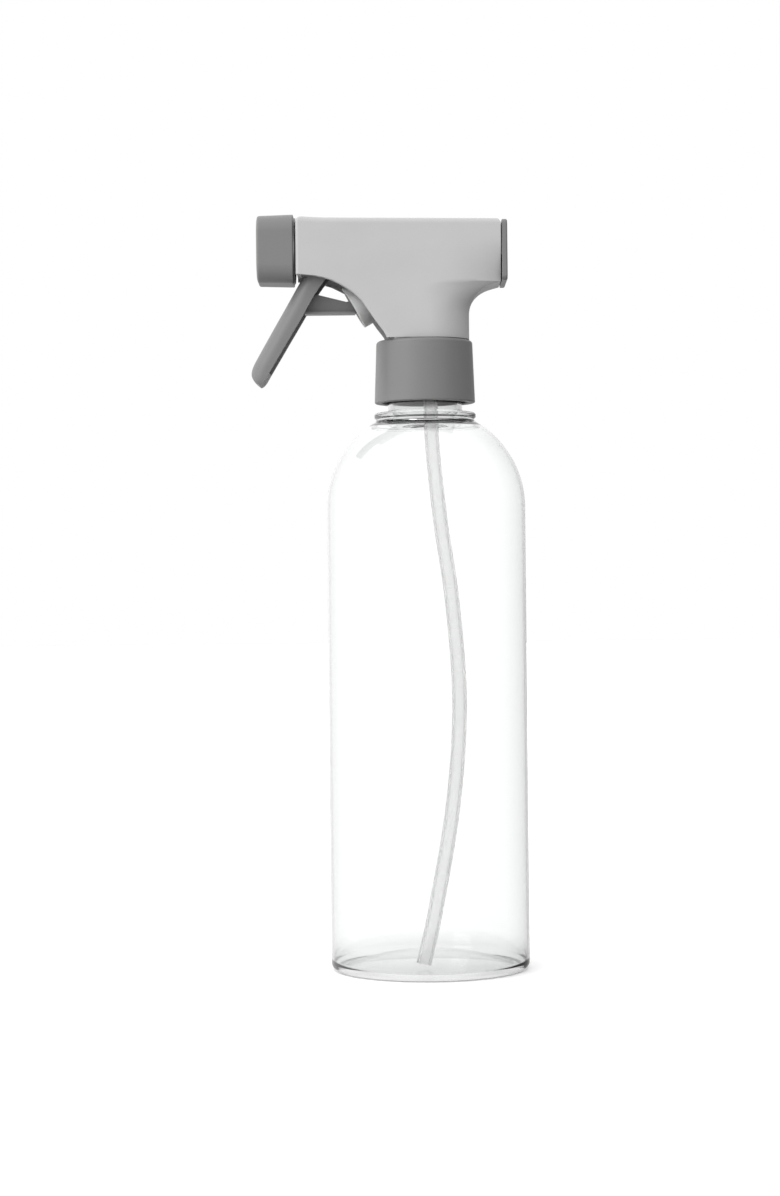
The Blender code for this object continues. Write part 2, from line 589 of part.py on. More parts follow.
def main():
    clear_scene()
    clear = material("clear_pet", (0.93, 0.95, 0.95), 0.08, alpha=0.25)
    light = material("light_grey", (0.56, 0.56, 0.56), 0.45)
    dark = material("dark_grey", (0.23, 0.23, 0.23), 0.45)
    natural = material("natural_pp", (0.55, 0.55, 0.54), 0.4)
    milky = material("milky_pe", (0.85, 0.85, 0.84), 0.35, alpha=0.7)
    rubber = material("rubber", (0.05, 0.05, 0.05), 0.7)
    steel = material("spring_steel", (0.6, 0.6, 0.6), 0.25, 1.0)
    glass = material("valve_glass", (0.8, 0.85, 0.85), 0.1)

    ball = (RISER_X, 0, BALL_Z)
    empty("bottle_axis", (0, 0, 0))
    empty("head_axis", (0, 0, NECK_TOP), "bottle_axis")
    empty("collar_axis", (0, 0, COLLAR_Z[0]), "head_axis")
    empty("ball_axis", ball, "head_axis")
    empty("piston_axis", in_cylinder(0), "head_axis")
    empty("trigger_axis", (PIVOT[0], 0, PIVOT[1]), "head_axis")
    empty("link_axis", (LINK_PIN[0], 0, LINK_PIN[1]), "trigger_axis")
    empty("nozzle_axis", nozzle_point(NOZZLE_X[2]), "head_axis")
    empty("valve_axis", nozzle_point(VALVE_SEAT_X), "head_axis")

    bottle(clear)
    collar(dark)
    closure_gasket(rubber)
    tube_retainer(natural)
    inlet_ball(glass)
    dip_tube(milky)
    pump_body(natural)
    piston(milky)
    ring("piston_seal", 5.55, 6.45, 5.95, 6.85, in_cylinder(0), CYLINDER_AXIS, "piston_axis", rubber)
    add("return_spring", coil(4.0, 0.4, 10.1, 5.5, in_cylinder(5.6), CYLINDER_AXIS), "head_axis", steel)
    push_link(dark)
    trigger(dark)
    outlet_valve(milky)
    add("outlet_valve_spring", coil(1.9, 0.22, 2.7, 3, nozzle_point(VALVE_SEAT_X - 1.6), (-1, 0, 0), 12),
        "head_axis", steel)
    swirl_core(natural)
    ring("nozzle_gasket", 5.1, 6.0, 3.6, 4.6, nozzle_point(BOSS_FRONT_X), (1, 0, 0), "head_axis", rubber)
    nozzle_cap(dark)
    orifice_insert(dark)
    shroud(light)
    rear_plate(dark)


main()
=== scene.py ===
"""Looks of the trigger spray bottle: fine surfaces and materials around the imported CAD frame.

The builders below work in millimetres from the bottle's own axis, as the CAD does; each mesh is scaled
and moved to the frame when its piece is made.
"""
import json
import math

import bmesh
import bpy
from mathutils import Matrix, Vector


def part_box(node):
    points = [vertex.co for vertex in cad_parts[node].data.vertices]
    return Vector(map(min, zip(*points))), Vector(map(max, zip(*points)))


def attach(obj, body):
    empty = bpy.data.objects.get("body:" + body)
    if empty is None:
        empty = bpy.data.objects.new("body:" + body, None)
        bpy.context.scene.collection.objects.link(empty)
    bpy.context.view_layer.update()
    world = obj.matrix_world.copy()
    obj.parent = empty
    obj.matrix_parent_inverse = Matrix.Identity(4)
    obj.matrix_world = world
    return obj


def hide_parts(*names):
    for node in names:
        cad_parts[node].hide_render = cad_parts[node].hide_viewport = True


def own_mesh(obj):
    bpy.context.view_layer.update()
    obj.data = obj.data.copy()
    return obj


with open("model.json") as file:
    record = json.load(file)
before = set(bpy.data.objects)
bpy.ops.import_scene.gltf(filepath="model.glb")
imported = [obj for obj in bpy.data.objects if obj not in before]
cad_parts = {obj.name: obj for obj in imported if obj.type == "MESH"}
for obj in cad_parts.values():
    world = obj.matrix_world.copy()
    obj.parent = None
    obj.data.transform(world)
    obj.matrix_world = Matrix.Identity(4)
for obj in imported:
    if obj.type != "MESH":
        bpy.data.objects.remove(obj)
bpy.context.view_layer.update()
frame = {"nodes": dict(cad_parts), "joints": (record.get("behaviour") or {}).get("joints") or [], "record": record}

MM = 0.001
AXIS_M = (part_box("bottle")[0][0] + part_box("bottle")[1][0]) / 2  # where the bottle's axis stands, in metres
AXIS_X = AXIS_M / MM


def box_mm(node):
    """A node's lowest and highest corner in millimetres, measured from the bottle's axis."""
    return [[(x - AXIS_M) / MM, y / MM, z / MM] for x, y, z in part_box(node)]


def joint_mm(name):
    """A hinge's point as (x, z) in millimetres from the bottle's axis."""
    joint = next(j for j in frame["joints"] if j["name"] == name)
    return ((joint["pos_m"][0] - AXIS_M) / MM, joint["pos_m"][2] / MM)


# Bottle
BOTTLE_R = box_mm("bottle")[1][0]
NECK_TOP = box_mm("bottle")[1][2]
WALL = 0.8
SIDE_TOP = 153.2
SHOULDER_ARC_R = 33.0
SHOULDER_TOP = 181.8
BASE_CORNER_R = 2.2
CONTACT_IN_R = 28.4
PUSH_UP = 5.0
RING_R = 16.9
RING_Z = (182.8, 184.6)
NECK_R = 12.4
NECK_BORE_R = 10.9

# Screw thread
PITCH = 4.233
THREAD_TURNS = 1.5
THREAD_Z = 192.0
THREAD_CREST_R = 13.7
COLLAR_THREAD_R = 12.95
COLLAR_THREAD_DROP = 1.65

# Collar, retainer, dip tube
COLLAR_Z = (box_mm("collar")[0][2], box_mm("collar")[1][2])
COLLAR_R = (box_mm("collar")[1][0], box_mm("collar")[1][0] - 0.7)
COLLAR_BORE_R = 14.05
COLLAR_TOP_WALL = 2.2
COLLAR_EYE_R = 10.3
RISER_X = 2.0
TUBE_R = 2.4
TUBE_BORE_R = 1.6

# Pump body, from its barrel's height and the pump cylinder's mouth
PIVOT = joint_mm("trigger_squeeze")
NOZZLE_Z = joint_mm("nozzle_turn")[1]
LINK_PIN = joint_mm("link_swing")
MOUTH = (-23.55, 219.9)
CYLINDER_TILT = math.radians(30)
CYLINDER_R = 7.6
BORE_R = 6.6
BORE_DEPTH = 16.0
CYLINDER_LENGTH = 18.0
BARREL_R = 3.4
BOSS_R = 5.5
BOSS_FRONT_X = -52.8
LINK_BALL_DEPTH = 1.5

# Springs: coil radius, wire radius, free length, turns
RETURN_SPRING = (4.0, 0.4, 10.1, 5.5)
RETURN_SPRING_DEPTH = 5.6
VALVE_SPRING = (1.9, 0.22, 2.7, 3)
VALVE_SPRING_X = -48.1

# Trigger
TRIGGER_HALF = box_mm("trigger")[1][1]
TRIGGER_WALL = 1.8

# Nozzle
NOZZLE_X = (box_mm("nozzle_cap")[0][0], box_mm("nozzle_cap")[1][0])
NOZZLE_SHOULDER_X = box_mm("nozzle_cap")[1][0] - 0.5
NOZZLE_HALF = (11.05, box_mm("nozzle_cap")[1][1] - 0.15)
NOZZLE_CORNER_R = 5.8
NOZZLE_BORE_R = 6.3
NOZZLE_WALL = 1.8

# Shroud and rear plate
SHROUD_HALF = box_mm("shroud")[1][1]
SHROUD_X = (box_mm("shroud")[0][0], box_mm("shroud")[1][0])
SHROUD_BOTTOM = box_mm("shroud")[0][2]
SHROUD_WALL = 1.4
SHROUD_EDGE_R = 1.8
TOP_SLOPE = 0.014
SLOPE_FROM = 232.5
SHROUD_TOP = box_mm("shroud")[1][2] - TOP_SLOPE * (SHROUD_X[1] - SHROUD_X[0] - SHROUD_EDGE_R)
FLARE_MM = 0.5
FLARE_LENGTH = 12.0
NECK_REAR_X = 15.0
NECK_FLARE_Z = (218.0, 227.0, 242.0)
SWEEP_REACH = 20.0
SWEEP_DEPTH = 3.6
REAR_OPENING_Z = 235.6
PLATE_X = (25.7, box_mm("rear_plate")[1][0])
PLATE_Z = (box_mm("rear_plate")[0][2], box_mm("rear_plate")[1][2])

CYLINDER_AXIS = Vector((math.cos(CYLINDER_TILT), 0, math.sin(CYLINDER_TILT)))


# --- camera, light and floor ------------------------------------------------------------------

CAMERA_DISTANCE = 0.85
CAMERA_YAW = 0.0
CAMERA_ROLL = math.radians(-0.6)
CAMERA_HEIGHT = 0.1232
CAMERA_AIM_X = -0.0001
LENS_MM = 76.8
SIDE_FADE_X = (-0.45, -0.18, 0.18, 0.50)  # the backdrop's grey sides, by a direction's x
SIDE_GREY = (0.78, 0.70)
BEHIND_Y = (0.2, 0.6)  # the grey sides fade in over these values of a direction's y
THROUGH_LIGHT = 1.06  # the backdrop as seen through clear pieces
LIGHT_FROM = (-0.785, -0.178, 0.593)
WORLD_LIGHT = (0.2, 2.08)  # away from the light, and towards it
KEY_AT = (-0.75, -0.75, 0.75)
KEY_TARGET = (0, 0, 0.15)
KEY_SIZE = (0.5, 0.6)
KEY_WATTS = 2.0
FLOOR_SIZE = 6
FLOOR_DROP = 0.0002
FLOOR_GREY = (0.88, 0.88, 0.88)
FLOOR_GLOW = 0.15


def set_camera():
    data = bpy.data.cameras.new("camera")
    data.lens = LENS_MM
    data.sensor_width = 36
    data.clip_start = 0.01
    camera = bpy.data.objects.new("camera", data)
    bpy.context.scene.collection.objects.link(camera)
    aim = Vector((CAMERA_AIM_X, 0, CAMERA_HEIGHT))
    away = Vector((math.sin(CAMERA_YAW), -math.cos(CAMERA_YAW), 0))
    camera.location = aim + away * CAMERA_DISTANCE
    turn = (-away).to_track_quat("-Z", "Y").to_matrix().to_4x4()
    camera.rotation_euler = (turn @ Matrix.Rotation(CAMERA_ROLL, 4, "Z")).to_euler()
    bpy.context.scene.camera = camera


def key_light():
    data = bpy.data.lights.new("key", "AREA")
    data.shape = "RECTANGLE"
    data.size, data.size_y = KEY_SIZE
    data.energy = KEY_WATTS
    light = bpy.data.objects.new("key", data)
    bpy.context.scene.collection.objects.link(light)
    light.location = KEY_AT
    light.rotation_euler = (Vector(KEY_TARGET) - Vector(KEY_AT)).to_track_quat("-Z", "Y").to_euler()


class Nodes:
    """Short ways to add nodes to a tree."""

    def __init__(self, tree):
        self.tree = tree

    def node(self, kind, **settings):
        made = self.tree.nodes.new(kind)
        for name, value in settings.items():
            setattr(made, name, value)
        return made

    def link(self, start, end):
        self.tree.links.new(start, end)

    def give(self, socket, value):
        """Sets a socket to a number, or links another node's output to it."""
        if isinstance(value, (int, float)):
            socket.default_value = value
        else:
            self.link(value, socket)

    def ranged(self, value, low, high, start=0.3, end=0.7):
        """The value's range from start to end becomes low to high, clamped."""
        made = self.node("ShaderNodeMapRange")
        made.inputs["From Min"].default_value = start
        made.inputs["From Max"].default_value = end
        made.inputs["To Min"].default_value = low
        made.inputs["To Max"].default_value = high
        self.link(value, made.inputs["Value"])
        return made.outputs["Result"]

    def math(self, operation, first, second):
        made = self.node("ShaderNodeMath", operation=operation)
        self.give(made.inputs[0], first)
        self.give(made.inputs[1], second)
        return made.outputs["Value"]

    def between(self, factor, first, second):
        """A number that goes from the first to the second as the factor goes from 0 to 1."""
        made = self.node("ShaderNodeMix")
        for socket, value in (("Factor", factor), ("A", first), ("B", second)):
            self.give(made.inputs[socket], value)
        return made.outputs["Result"]


def light_world(tree):
    """White behind the object; as a light, bright from the upper left and fading to the lower right.

    Clear pieces are seen against grey sides, which draw their outlines.
    """
    world = Nodes(tree)
    path = world.node("ShaderNodeLightPath")
    direction = world.node("ShaderNodeTexCoord").outputs["Generated"]
    part = world.node("ShaderNodeSeparateXYZ")
    world.link(direction, part.inputs["Vector"])
    facing = world.node("ShaderNodeVectorMath", operation="DOT_PRODUCT")
    facing.inputs[1].default_value = Vector(LIGHT_FROM).normalized()
    world.link(direction, facing.inputs[0])
    light = world.ranged(facing.outputs["Value"], *WORLD_LIGHT, -1, 1)
    left = world.ranged(part.outputs["X"], SIDE_GREY[0], 1, *SIDE_FADE_X[:2])
    right = world.ranged(part.outputs["X"], 1, SIDE_GREY[1], *SIDE_FADE_X[2:])
    behind = world.ranged(part.outputs["Y"], 0, 1, *BEHIND_Y)
    backdrop = world.between(behind, 1.0, world.math("MULTIPLY", left, right))
    lit = world.math("MULTIPLY", light, backdrop)
    through = world.math("MULTIPLY", backdrop, THROUGH_LIGHT)
    unseen = world.between(path.outputs["Is Transmission Ray"], lit, through)
    strength = world.between(path.outputs["Is Camera Ray"], unseen, 1.0)
    background = tree.nodes["Background"]
    world.link(strength, background.inputs["Strength"])
    background.inputs["Color"].default_value = (1, 1, 1, 1)


def set_studio():
    world = bpy.data.worlds.new("studio")
    bpy.context.scene.world = world
    world.use_nodes = True
    light_world(world.node_tree)
    bpy.context.scene.view_settings.view_transform = "Standard"
    bpy.context.scene.view_settings.look = "None"
    key_light()

    bm = bmesh.new()
    bmesh.ops.create_grid(bm, x_segments=1, y_segments=1, size=FLOOR_SIZE)
    mesh = bpy.data.meshes.new("floor")
    bm.to_mesh(mesh)
    bm.free()
    floor = bpy.data.objects.new("floor", mesh)
    bpy.context.scene.collection.objects.link(floor)
    floor.location.z = -FLOOR_DROP
    floor_look = bpy.data.materials.new("floor_white")
    floor_look.use_nodes = True
    shader = floor_look.node_tree.nodes["Principled BSDF"]
    shader.inputs["Base Color"].default_value = (*FLOOR_GREY, 1)
    shader.inputs["Roughness"].default_value = 0.8
    shader.inputs["Emission Color"].default_value = (1, 1, 1, 1)
    shader.inputs["Emission Strength"].default_value = FLOOR_GLOW
    mesh.materials.append(floor_look)
    floor.visible_diffuse = False
    floor.visible_transmission = False
    floor.visible_glossy = False


# --- materials --------------------------------------------------------------------------------

class Look(Nodes):
    """A procedural material on a Principled shader."""

    def __init__(self, name):
        self.material = bpy.data.materials.new(name)
        self.material.use_nodes = True
        super().__init__(self.material.node_tree)
        self.shader = self.tree.nodes["Principled BSDF"]
        self.place = self.tree.nodes.new("ShaderNodeTexCoord").outputs["Object"]

    def set(self, **values):
        for name, value in values.items():
            socket = self.shader.inputs[name.replace("_", " ")]
            socket.default_value = (*value, 1) if socket.type == "RGBA" else value

    def noise(self, scale, detail=3.0, roughness=0.55, stretch=None):
        made = self.node("ShaderNodeTexNoise")
        made.inputs["Scale"].default_value = scale
        made.inputs["Detail"].default_value = detail
        made.inputs["Roughness"].default_value = roughness
        place = self.place
        if stretch:
            mapping = self.node("ShaderNodeMapping")
            mapping.inputs["Scale"].default_value = stretch
            self.link(place, mapping.inputs["Vector"])
            place = mapping.outputs["Vector"]
        self.link(place, made.inputs["Vector"])
        return made.outputs["Fac"]

    def mixed(self, factor, first, second):
        """A colour between two others."""
        made = self.node("ShaderNodeMix", data_type="RGBA")
        for socket, value in (("A", first), ("B", second)):
            target = next(s for s in made.inputs if s.name == socket and s.type == "RGBA")
            if isinstance(value, tuple):
                target.default_value = (*value, 1)
            else:
                self.link(value, target)
        self.link(factor, made.inputs["Factor"])
        return next(s for s in made.outputs if s.type == "RGBA")

    def bump(self, height, strength, distance, under=None):
        made = self.node("ShaderNodeBump")
        made.inputs["Strength"].default_value = strength
        made.inputs["Distance"].default_value = distance
        self.link(height, made.inputs["Height"])
        if under is not None:
            self.link(under, made.inputs["Normal"])
        return made.outputs["Normal"]

    def edges(self, radius=0.0004):
        """1 on convex edges, 0 on flats: how far a rounded normal leans from the true one."""
        rounded = self.node("ShaderNodeBevel", samples=4)
        rounded.inputs["Radius"].default_value = radius
        geometry = self.node("ShaderNodeNewGeometry")
        dot = self.node("ShaderNodeVectorMath", operation="DOT_PRODUCT")
        self.link(rounded.outputs["Normal"], dot.inputs[0])
        self.link(geometry.outputs["Normal"], dot.inputs[1])
        return self.ranged(dot.outputs["Value"], 1, 0, 0.75, 0.995)


EDGE_WEAR = 0.35
GRAIN = 0.175
BASE_THICK_AND_SHADE_Z = (0.004, 0.009)  # the thick base's darker tint, partly painted shade for the floor's shadow seen through the base, fades out over these heights, in metres
NECK_TINT_Z = (0.1815, 0.1835)
CLEAR_TINT = (0.99, 0.995, 0.995)
# the darker tint of thick PET; at the base it is also painted shade for the floor's shadow seen through the base
THICK_AND_SHADE_TINT = (0.80, 0.805, 0.805)


def shade(colour, factor):
    return tuple(min(1, c * factor) for c in colour)


def moulded(name, colour, roughness):
    """Injection-moulded plastic: fine satin grain, faint flow marks, scuffs and paler worn edges."""
    look = Look(name)
    cloud = look.noise(38, 4)
    flow = look.noise(60, 2, stretch=(0.4, 1, 2.2))
    scuff = look.ranged(look.noise(900, 2, 0.6, (0.12, 1, 0.5)), 0, 1, 0.60, 0.74)
    patch = look.ranged(look.noise(70, 2), 0, 1, 0.5, 0.7)
    marks = look.math("MULTIPLY", scuff, patch)
    base = look.mixed(look.ranged(cloud, 0, 1), shade(colour, 0.965), shade(colour, 1.03))
    base = look.mixed(look.ranged(flow, 0, 0.25), base, shade(colour, 1.06))
    rubbed = look.ranged(look.noise(260, 3), EDGE_WEAR / 4, EDGE_WEAR, 0.35, 0.65)
    base = look.mixed(look.math("MULTIPLY", look.edges(), rubbed), base, shade(colour, 1.45))
    look.link(base, look.shader.inputs["Base Color"])
    satin = look.ranged(cloud, roughness - 0.04, roughness + 0.06)
    look.link(look.math("ADD", satin, look.ranged(marks, 0, 0.16, 0, 1)), look.shader.inputs["Roughness"])
    fine = look.noise(5200, 2)
    broad = look.noise(300, 2)
    normal = look.bump(broad, 0.10, 0.0002)
    normal = look.bump(marks, 0.05, 0.00003, normal)
    normal = look.bump(fine, GRAIN, 0.00003, normal)
    look.link(normal, look.shader.inputs["Normal"])
    look.set(IOR=1.49, Specular_IOR_Level=0.45)
    return look.material


def clear_pet():
    """Blow-moulded PET: clear and glossy, darker in its thick base and neck (at the base also painted shade for
    the floor's shadow seen through it), with soft waves and scuffs.
    """
    look = Look("clear_pet")
    look.set(IOR=1.57, Transmission_Weight=1.0, Specular_IOR_Level=0.5)
    height = look.node("ShaderNodeSeparateXYZ")
    look.link(look.place, height.inputs["Vector"])
    # the base's darker tint is partly painted shade: the floor's shadow seen through the base
    thick_and_shade = look.math("MAXIMUM", look.ranged(height.outputs["Z"], 1, 0, *BASE_THICK_AND_SHADE_Z),
                      look.ranged(height.outputs["Z"], 0, 1, *NECK_TINT_Z))
    look.link(look.mixed(thick_and_shade, CLEAR_TINT, THICK_AND_SHADE_TINT), look.shader.inputs["Base Color"])
    waves = look.noise(22, 1, 0.4, (1, 1, 0.35))
    scuff = look.ranged(look.noise(700, 2, 0.6, (1, 1, 0.2)), 0, 1, 0.62, 0.8)
    look.link(look.ranged(scuff, 0.015, 0.09, 0, 1), look.shader.inputs["Roughness"])
    look.link(look.bump(waves, 0.18, 0.0006), look.shader.inputs["Normal"])
    return look.material


def milky(name, colour, transmission, roughness):
    """Natural polyethylene or polypropylene: it lets light through but not a clear picture."""
    look = Look(name)
    cloud = look.noise(120, 3)
    base = look.mixed(look.ranged(cloud, 0, 1), shade(colour, 0.96), shade(colour, 1.02))
    look.link(base, look.shader.inputs["Base Color"])
    look.link(look.ranged(cloud, roughness - 0.05, roughness + 0.05), look.shader.inputs["Roughness"])
    normal = look.bump(look.noise(420, 2), 0.012, 0.0001)
    look.link(look.bump(look.noise(4200, 2), 0.05, 0.00002, normal), look.shader.inputs["Normal"])
    look.set(IOR=1.5, Transmission_Weight=transmission, Subsurface_Weight=0.5, Subsurface_Scale=0.005,
             Subsurface_Radius=(1.0, 0.95, 0.9))
    return look.material


def rubber():
    look = Look("rubber_black")
    grain = look.noise(3000, 3)
    look.link(look.mixed(look.ranged(grain, 0, 1), (0.03, 0.03, 0.03), (0.055, 0.055, 0.055)),
              look.shader.inputs["Base Color"])
    look.link(look.ranged(grain, 0.6, 0.8), look.shader.inputs["Roughness"])
    look.link(look.bump(grain, 0.3, 0.00004), look.shader.inputs["Normal"])
    return look.material


def steel():
    look = Look("spring_wire")
    drawn = look.noise(2500, 2, 0.6, (1, 1, 6))
    look.link(look.mixed(look.ranged(drawn, 0, 1), (0.5, 0.5, 0.51), (0.66, 0.66, 0.67)),
              look.shader.inputs["Base Color"])
    look.link(look.ranged(drawn, 0.2, 0.36), look.shader.inputs["Roughness"])
    look.link(look.bump(drawn, 0.15, 0.00002), look.shader.inputs["Normal"])
    look.set(Metallic=1.0)
    return look.material


def ball_glass():
    look = Look("ball_glass")
    speck = look.noise(900, 2)
    look.link(look.ranged(speck, 0.02, 0.08), look.shader.inputs["Roughness"])
    look.set(Base_Color=(0.86, 0.93, 0.9), IOR=1.5, Transmission_Weight=1.0)
    return look.material


LOOKS = {
    "clear_pet": clear_pet(),
    "light_grey": moulded("shroud_light_grey", (0.40, 0.40, 0.40), 0.42),
    "dark_grey": moulded("moulded_dark_grey", (0.150, 0.150, 0.150), 0.40),
    "natural_pp": milky("natural_pp", (0.52, 0.52, 0.515), 0.1, 0.38),
    "milky_pe": milky("milky_pe", (0.995, 0.995, 0.99), 0.95, 0.2),
    "rubber": rubber(),
    "spring_steel": steel(),
    "valve_glass": ball_glass(),
}


# --- mesh builders, in millimetres from the bottle's axis --------------------------------------

def turned(profile, steps=96, at=(0, 0, 0), along=(0, 0, 1)):
    """A profile of (radius, height) turned about an axis; it is closed unless it ends on the axis."""
    bm = bmesh.new()
    points = [bm.verts.new((r, 0, z)) for r, z in profile]
    ends_on_axis = profile[0][0] == 0 and profile[-1][0] == 0
    pairs = list(zip(points, points[1:])) + ([] if ends_on_axis else [(points[-1], points[0])])
    edges = [bm.edges.new(pair) for pair in pairs]
    bmesh.ops.spin(bm, geom=points + edges, cent=(0, 0, 0), axis=(0, 0, 1),
                   angle=2 * math.pi, steps=steps)
    bmesh.ops.remove_doubles(bm, verts=bm.verts, dist=1e-4)
    turn = Vector(along).to_track_quat("Z", "Y").to_matrix().to_4x4()
    bmesh.ops.transform(bm, verts=bm.verts, matrix=Matrix.Translation(at) @ turn)
    return bm


def rod(radius, start, end, steps=64, bore=0.0, edge=0.0):
    """A cylinder or tube between two points, its outer rims rounded."""
    start, end = Vector(start), Vector(end)
    length = (end - start).length
    low = arc((radius - edge, edge), edge, -90, 0, 4) if edge else [(radius, 0)]
    high = arc((radius - edge, length - edge), edge, 0, 90, 4) if edge else [(radius, length)]
    return turned([(bore, 0)] + low + high + [(bore, length)], steps, start, end - start)


def box(low, high):
    bm = bmesh.new()
    bmesh.ops.create_cube(bm, size=1)
    low, high = Vector(low), Vector(high)
    bmesh.ops.scale(bm, verts=bm.verts, vec=high - low)
    bmesh.ops.translate(bm, verts=bm.verts, vec=(low + high) / 2)
    return bm


def prism(outline, y_low, y_high):
    """An outline of (x, z) extruded along Y."""
    bm = bmesh.new()
    face = bm.faces.new([bm.verts.new((x, y_low, z)) for x, z in outline])
    grown = bmesh.ops.extrude_face_region(bm, geom=[face])["geom"]
    moved = [item for item in grown if isinstance(item, bmesh.types.BMVert)]
    bmesh.ops.translate(bm, verts=moved, vec=(0, y_high - y_low, 0))
    bmesh.ops.recalc_face_normals(bm, faces=bm.faces)
    return bm


def loft(rings, hollow_ends=False):
    """Quads between rings with the same number of points, with a face over each end."""
    bm = bmesh.new()
    made = [[bm.verts.new(point) for point in ring] for ring in rings]
    for low, high in zip(made, made[1:]):
        for i in range(len(low)):
            j = (i + 1) % len(low)
            bm.faces.new((low[i], low[j], high[j], high[i]))
    if not hollow_ends:
        bm.faces.new(reversed(made[0]))
        bm.faces.new(made[-1])
    return bm


def arc(centre, radius, start, end, count):
    """Points along an arc, its angles in degrees."""
    turns = [math.radians(start + (end - start) * i / count) for i in range(count + 1)]
    return [(centre[0] + radius * math.cos(a), centre[1] + radius * math.sin(a)) for a in turns]


def swept(path, radius, sides, bore=0.0):
    """A round section carried along a path; with a bore it is an open tube."""
    points = [Vector(p) for p in path]
    rings, holes = [], []
    for i, point in enumerate(points):
        along = (points[min(i + 1, len(points) - 1)] - points[max(i - 1, 0)]).normalized()
        across = along.cross(Vector((0.3, 1, 0.2))).normalized()
        other = along.cross(across)
        turns = [2 * math.pi * k / sides for k in range(sides)]
        round_it = [across * math.cos(a) + other * math.sin(a) for a in turns]
        rings.append([point + way * radius for way in round_it])
        holes.append([point + way * bore for way in round_it])
    if not bore:
        return loft(rings)
    bm = loft(rings + holes[::-1] + rings[:1], hollow_ends=True)
    bmesh.ops.remove_doubles(bm, verts=bm.verts, dist=1e-4)
    return bm


def smooth_path(knots, per_span):
    """A Catmull-Rom curve through a few chosen points."""
    knots = [Vector(k) for k in knots]
    padded = [2 * knots[0] - knots[1]] + knots + [2 * knots[-1] - knots[-2]]
    path = []
    for a, b, c, d in zip(padded, padded[1:], padded[2:], padded[3:]):
        for i in range(per_span):
            t = i / per_span
            path.append(0.5 * (2 * b + (c - a) * t + (2 * a - 5 * b + 4 * c - d) * t**2
                               + (3 * b - a - 3 * c + d) * t**3))
    return path + [knots[-1]]


def thread(root_r, crest_r, start_z, half_root, half_crest, per_turn=72):
    """A helical ridge of trapezoid section, fading into its wall at both ends."""
    steps = int(THREAD_TURNS * per_turn)
    fade_steps = per_turn / 8
    rings = []
    for i in range(steps + 1):
        a = 2 * math.pi * (i + 0.13) / per_turn
        fade = min(1, i / fade_steps + 0.05, (steps - i) / fade_steps + 0.05)
        crest = root_r + (crest_r - root_r) * fade
        z = start_z + PITCH * i / per_turn
        lip = 0.25 * (crest - root_r)
        section = [(root_r, -half_root), (crest - lip, -half_crest - 0.12), (crest, -half_crest + 0.15),
                   (crest, half_crest - 0.15), (crest - lip, half_crest + 0.12), (root_r, half_root)]
        rings.append([(r * math.cos(a), r * math.sin(a), z + dz) for r, dz in section])
    return loft(rings)


def mesh_object(name, bm, look, smooth):
    """Moves a mesh from the bottle's axis in millimetres to the frame in metres."""
    bmesh.ops.translate(bm, verts=bm.verts, vec=(AXIS_X, 0, 0))
    bmesh.ops.scale(bm, verts=bm.verts, vec=(MM, MM, MM))
    bmesh.ops.recalc_face_normals(bm, faces=bm.faces)
    mesh = bpy.data.meshes.new(name)
    bm.to_mesh(mesh)
    bm.free()
    mesh.shade_smooth()
    mesh.set_sharp_from_angle(angle=math.radians(smooth))
    if look:
        mesh.materials.append(LOOKS[look])
    obj = bpy.data.objects.new(name, mesh)
    bpy.context.scene.collection.objects.link(obj)
    return obj


ROUND_SEGMENTS = 2
ROUND_FROM_DEGREES = 40


def piece(name, bm, look, body, node, smooth=35, joins=(), cuts=(), round_mm=0.0):
    """Makes a piece, joins and cuts it, rounds its edges, ties it to its body and hides its CAD node."""
    obj = mesh_object(name, bm, look, smooth)
    helpers = []
    for operation, meshes in (("UNION", joins), ("DIFFERENCE", cuts)):
        for k, other in enumerate(meshes):
            helper = mesh_object(f"{name}_{operation.lower()}_{k}", other, None, smooth)
            boolean = obj.modifiers.new(helper.name, "BOOLEAN")
            boolean.operation, boolean.solver, boolean.object = operation, "EXACT", helper
            helpers.append(helper)
    if helpers:
        bake_modifiers(obj)
        for helper in helpers:
            bpy.data.objects.remove(helper)
        obj.data.shade_smooth()
    if round_mm:
        soften = obj.modifiers.new("rounded edges", "BEVEL")
        soften.width = round_mm * MM
        soften.segments = ROUND_SEGMENTS
        soften.limit_method = "ANGLE"
        soften.angle_limit = math.radians(ROUND_FROM_DEGREES)
        soften.use_clamp_overlap = True
        bake_modifiers(obj)
    obj.data.shade_smooth()
    obj.data.set_sharp_from_angle(angle=math.radians(smooth))
    weigh = obj.modifiers.new("weighted normals", "WEIGHTED_NORMAL")
    weigh.keep_sharp = True
    weigh.weight = 100
    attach(obj, body)
    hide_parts(node)
    return obj


def bake_modifiers(obj):
    """Replaces an object's mesh with its evaluated one, tidied."""
    bpy.context.view_layer.update()
    graph = bpy.context.evaluated_depsgraph_get()
    made = bpy.data.meshes.new_from_object(obj.evaluated_get(graph))
    bm = bmesh.new()
    bm.from_mesh(made)
    bmesh.ops.remove_doubles(bm, verts=bm.verts, dist=2e-6)
    bmesh.ops.dissolve_degenerate(bm, edges=bm.edges, dist=1e-6)
    bm.to_mesh(made)
    bm.free()
    obj.modifiers.clear()
    obj.data = made


# --- bottle, collar and what seals them -------------------------------------------------------

